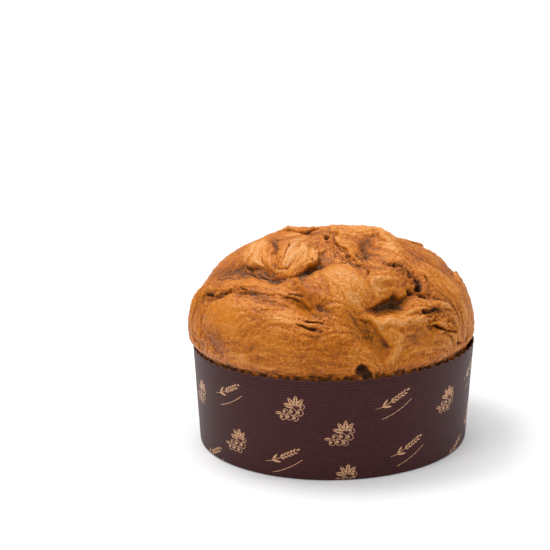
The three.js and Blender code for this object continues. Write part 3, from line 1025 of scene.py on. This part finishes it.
def fold_in(n, point, places, half):
    """The point seen from whichever placed motif it falls in: motifs don't overlap, so the local
    points of all of them, each masked by its own box, add up. Elsewhere it is far away."""
    x, y = point
    total_x = total_y = covered = None
    for across, up, turn in places:
        c, s = cos(radians(turn)), sin(radians(turn))
        dx, dy = n.minus(x, across), n.minus(y, up)
        local_x = n.plus(n.times(dx, c), n.times(dy, s))
        local_y = n.plus(n.times(dy, c), n.times(dx, -s))
        inside_x = n.math("LESS_THAN", n.math("ABSOLUTE", local_x), half[0])
        inside_y = n.math("LESS_THAN", n.math("ABSOLUTE", local_y), half[1])
        inside = n.times(inside_x, inside_y)
        if covered is None:
            covered = inside
            total_x, total_y = n.times(local_x, inside), n.times(local_y, inside)
        else:
            covered = n.math("MAXIMUM", covered, inside)
            total_x = n.math("MULTIPLY_ADD", local_x, inside, total_x)
            total_y = n.math("MULTIPLY_ADD", local_y, inside, total_y)
    away = n.times(n.minus(1.0, covered), 100.0)
    return n.plus(total_x, away), n.plus(total_y, away)


def distance_to(n, point, at):
    dx, dy = n.minus(point[0], at[0]), n.minus(point[1], at[1])
    return n.math("SQRT", n.plus(n.times(dx, dx), n.times(dy, dy)))


def leaf_outline(n, point, foot, tip, fatness):
    """Signed distance, negative inside, of a leaf between two points: two arcs' overlap."""
    foot, tip = np.array(foot, float), np.array(tip, float)
    middle, half = (foot + tip) / 2, np.linalg.norm(tip - foot) / 2
    side = np.array([-(tip - foot)[1], (tip - foot)[0]]) / (2 * half)
    bow = half * fatness
    radius = (half**2 + bow**2) / (2 * bow)
    arcs = [distance_to(n, point, middle + way * (radius - bow) * side) for way in (1, -1)]
    return n.minus(n.math("MAXIMUM", *arcs), radius)


def print_ink(n, shapes):
    """1 where any of the signed distances is negative."""
    nearest = shapes[0]
    for shape in shapes[1:]:
        nearest = n.math("MINIMUM", nearest, shape)
    return n.span(nearest, 0.12, -0.12)


def ring_shape(n, point, at, radius, width):
    gap = n.minus(distance_to(n, point, at), radius)
    return n.minus(n.math("ABSOLUTE", gap), width)


def disc_shape(n, point, at, radius):
    return n.minus(distance_to(n, point, at), radius)


def berry_motif(n, point):
    """A cluster of berries under a tuft of leaves."""
    shapes = []
    for across, up, radius in BERRIES:
        shapes.append(ring_shape(n, point, (across, up), radius, 0.22))
        shapes.append(disc_shape(n, point, (across - 0.3 * radius, up + 0.3 * radius), 0.42 * radius))
    for foot, tip, fatness in BERRY_LEAVES:
        leaf = leaf_outline(n, point, foot, tip, fatness)
        vein = leaf_outline(n, point, foot, tip, 0.05)
        shapes.append(n.math("MAXIMUM", leaf, n.minus(0.12, vein)))
    return print_ink(n, shapes)


def wheat_motif(n, point):
    """An ear of wheat on a curved stem."""
    shapes = [leaf_outline(n, point, (12.2, 0.4), (15.4, 0.2), 0.42)]
    for k in range(GRAINS):
        across = -1.5 + k * 2.7
        for way in (1, -1):
            shapes.append(leaf_outline(n, point, (across, 0.25 * way), (across + 3, 1.9 * way), 0.36))
    stem = ring_shape(n, point, (-4, 30), 30, 0.22)
    on_stem = n.minus(n.math("ABSOLUTE", n.plus(point[0], 6.0)), 8.0)
    shapes.append(n.math("MAXIMUM", stem, on_stem))
    for tip_up in (3.4, -3.2):
        shapes.append(leaf_outline(n, point, (-9, 0.3), (-2.6, tip_up), 0.24))
    rule = ring_shape(n, point, (0, 60), 69, 0.24)
    on_rule = n.minus(n.math("ABSOLUTE", point[0]), 13.0)
    shapes.append(n.math("MAXIMUM", rule, on_rule))
    return print_ink(n, shapes)


# The print: motif places as arc from the front, height and tilt; berries as place and radius.
PRINT_REPEAT = 220
BERRY_PLACES = [(-124, 45, 30), (-76, 20, 30), (-28, 52, 30), (7, 34, 30), (8.5, 1, 30), (96, 45, 30)]
WHEAT_PLACES = [(-84, 58, 27), (-37, 16, 27), (44, 56.5, 27), (56, 19, 27), (-109, 3, 27), (111, 3, 27)]
BERRIES = [
    (-9, -1, 2.1),
    (-5, 1.6, 1.9),
    (-4.6, -3.2, 2.3),
    (-0.4, -1, 2.5),
    (-1, -6, 1.9),
    (4, -3.8, 2.3),
    (7.6, -0.6, 1.8),
]
BERRY_LEAVES = [
    ((2, 1.6), (-3.4, 7.4), 0.4),
    ((2.4, 2), (2, 10), 0.36),
    ((3.2, 1.8), (8, 8.6), 0.4),
    ((3.6, 1.2), (11.4, 4), 0.36),
    ((-8, 1.8), (-12.6, 4.2), 0.4),
]
GRAINS = 5


def printed_paper_material():
    n = Nodes("printed_paper", 0.5)
    at = n.object_point()
    split = n.add("ShaderNodeSeparateXYZ", Vector=at).outputs
    turn = n.math("ARCTAN2", split[0], n.times(split[1], -1.0))
    arc = n.math("WRAP", n.times(turn, MEAN_RADIUS), PRINT_REPEAT / 2, -PRINT_REPEAT / 2)
    up = n.times(split[2], 1 / MM)
    point = (arc, up)
    fibre = n.noise(260, 4, 0.6, at)
    berries = berry_motif(n, fold_in(n, point, BERRY_PLACES, (14, 11.5)))
    wheat = wheat_motif(n, fold_in(n, point, WHEAT_PLACES, (17, 11.5)))
    ink = n.math("MAXIMUM", berries, wheat)
    crest = n.attribute("crest")
    # The ink lies on the flutes' crests and misses their valleys.
    cover = n.times(n.span(n.plus(crest, n.times(fibre, 0.6)), 0.25, 0.75, 0.35, 1.0), ink)
    # The folded-in flange is not printed.
    cover = n.times(cover, n.span(up, 0.6, 1.2))
    # The flutes' valleys are painted darker than their crests: painted shade.
    paper = n.blend(n.span(crest, 0, 1), srgb(48, 18, 18), srgb(62, 27, 27))
    paper = n.blend(n.times(n.span(fibre, 0.35, 0.7), 0.35), paper, srgb(78, 38, 38))
    color = n.blend(cover, paper, srgb(204, 156, 118))
    raw = n.math("MAXIMUM", n.attribute("cut_edge"), n.attribute("inside"))
    color = n.blend(n.times(raw, 0.7), color, srgb(112, 72, 56))
    roughness = n.plus(n.times(n.plus(fibre, -0.5), 0.2), 0.46)
    roughness = n.plus(roughness, n.times(cover, -0.08))
    normal = n.bump(n.noise(1400, 2, 0.5, at), 0.0002, 0.35)
    n.shader.inputs["Specular IOR Level"].default_value = 0.16
    return n.finish(color, roughness, normal)


def base_paper_material():
    n = Nodes("base_paper", 0.75)
    at = n.object_point()
    fibre = n.noise(300, 5, 0.65, at)
    stain = n.noise(22, 3, 0.5, at)
    color = n.blend(n.span(fibre, 0.3, 0.7), srgb(84, 50, 36), srgb(122, 80, 58))
    color = n.blend(n.times(n.span(stain, 0.5, 0.7), 0.5), color, srgb(58, 30, 20))
    normal = n.bump(fibre, 0.0002, 0.5)
    return n.finish(color, n.plus(n.times(n.plus(fibre, -0.5), 0.2), 0.75), normal)


# ---- Stage: floor, lights, camera ----
def make_floor():
    # It lies a hair below the foot, so that the two faces don't coincide.
    half, height = 9000, -0.2
    corners = np.array([(x * half, y * half, height) for x, y in ((-1, -1), (1, -1), (1, 1), (-1, 1))])
    floor = mesh_object("floor", corners, np.array([[0, 1, 2, 3]]), smooth=False)
    floor.data.materials.append(Nodes("floor_white", 0.6).finish((0.86, 0.86, 0.87, 1)))


def area_light(name, place, target, width, height, power, spread=180):
    light = bpy.data.lights.new(name, "AREA")
    light.shape = "RECTANGLE"
    light.size, light.size_y = width, height
    light.energy = power
    light.spread = radians(spread)
    holder = bpy.data.objects.new(name, light)
    holder.location = place
    holder.rotation_euler = (Vector(target) - Vector(place)).to_track_quat("-Z", "Y").to_euler()
    bpy.context.scene.collection.objects.link(holder)


def make_lights():
    world = bpy.data.worlds.new("studio")
    world.use_nodes = True
    background = world.node_tree.nodes["Background"]
    background.inputs["Color"].default_value = (1, 1, 1, 1)
    background.inputs["Strength"].default_value = 0.38
    bpy.context.scene.world = world
    area_light("ceiling", (0, 0.4, 2.2), (0, 0.4, 0), 3, 3, 50)
    area_light("overhead", (-0.3, 0.1, 0.9), (0, 0, 0.1), 0.4, 0.4, 4)
    area_light("front_left", (-0.9, -0.9, 0.8), (0, 0, 0.1), 0.6, 0.6, 5)
    area_light("right", (1.1, -0.1, 0.5), (0, 0, 0.1), 0.5, 0.8, 2.5)
    # Narrow beams straight down light the floor far off and miss the loaf.
    for x, y in ((0, 4.4), (0, -4.4), (4.4, 0), (-4.4, 0)):
        area_light("wash", (x, y, 2.6), (x, y, 0), 5, 5, 150, spread=70)


def make_camera():
    data = bpy.data.cameras.new("camera")
    data.sensor_width = 36
    data.lens = 98.2
    data.clip_start, data.clip_end = 0.05, 20
    camera = bpy.data.objects.new("camera", data)
    camera.location = (0, -1.0966, 0.4041)
    yaw, pitch, roll = radians(2.163), radians(14.274), radians(-1.44)
    turns = ((yaw, "Z"), (pi / 2 - pitch, "X"), (roll, "Z"))
    first, second, third = (Matrix.Rotation(angle, 4, axis) for angle, axis in turns)
    camera.rotation_euler = (first @ second @ third).to_euler()
    bpy.context.scene.collection.objects.link(camera)
    bpy.context.scene.camera = camera


# ---- Assembly ----
def add_piece(obj, node, material):
    obj.data.materials.append(material)
    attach(obj, "root")
    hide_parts(node)


add_piece(make_loaf(), "panettone_loaf", crust_material())
add_piece(make_wall(), "mould_wall", printed_paper_material())
add_piece(make_base(), "mould_base", base_paper_material())
make_floor()
make_lights()
make_camera()
bpy.context.scene.view_settings.view_transform = "Standard"
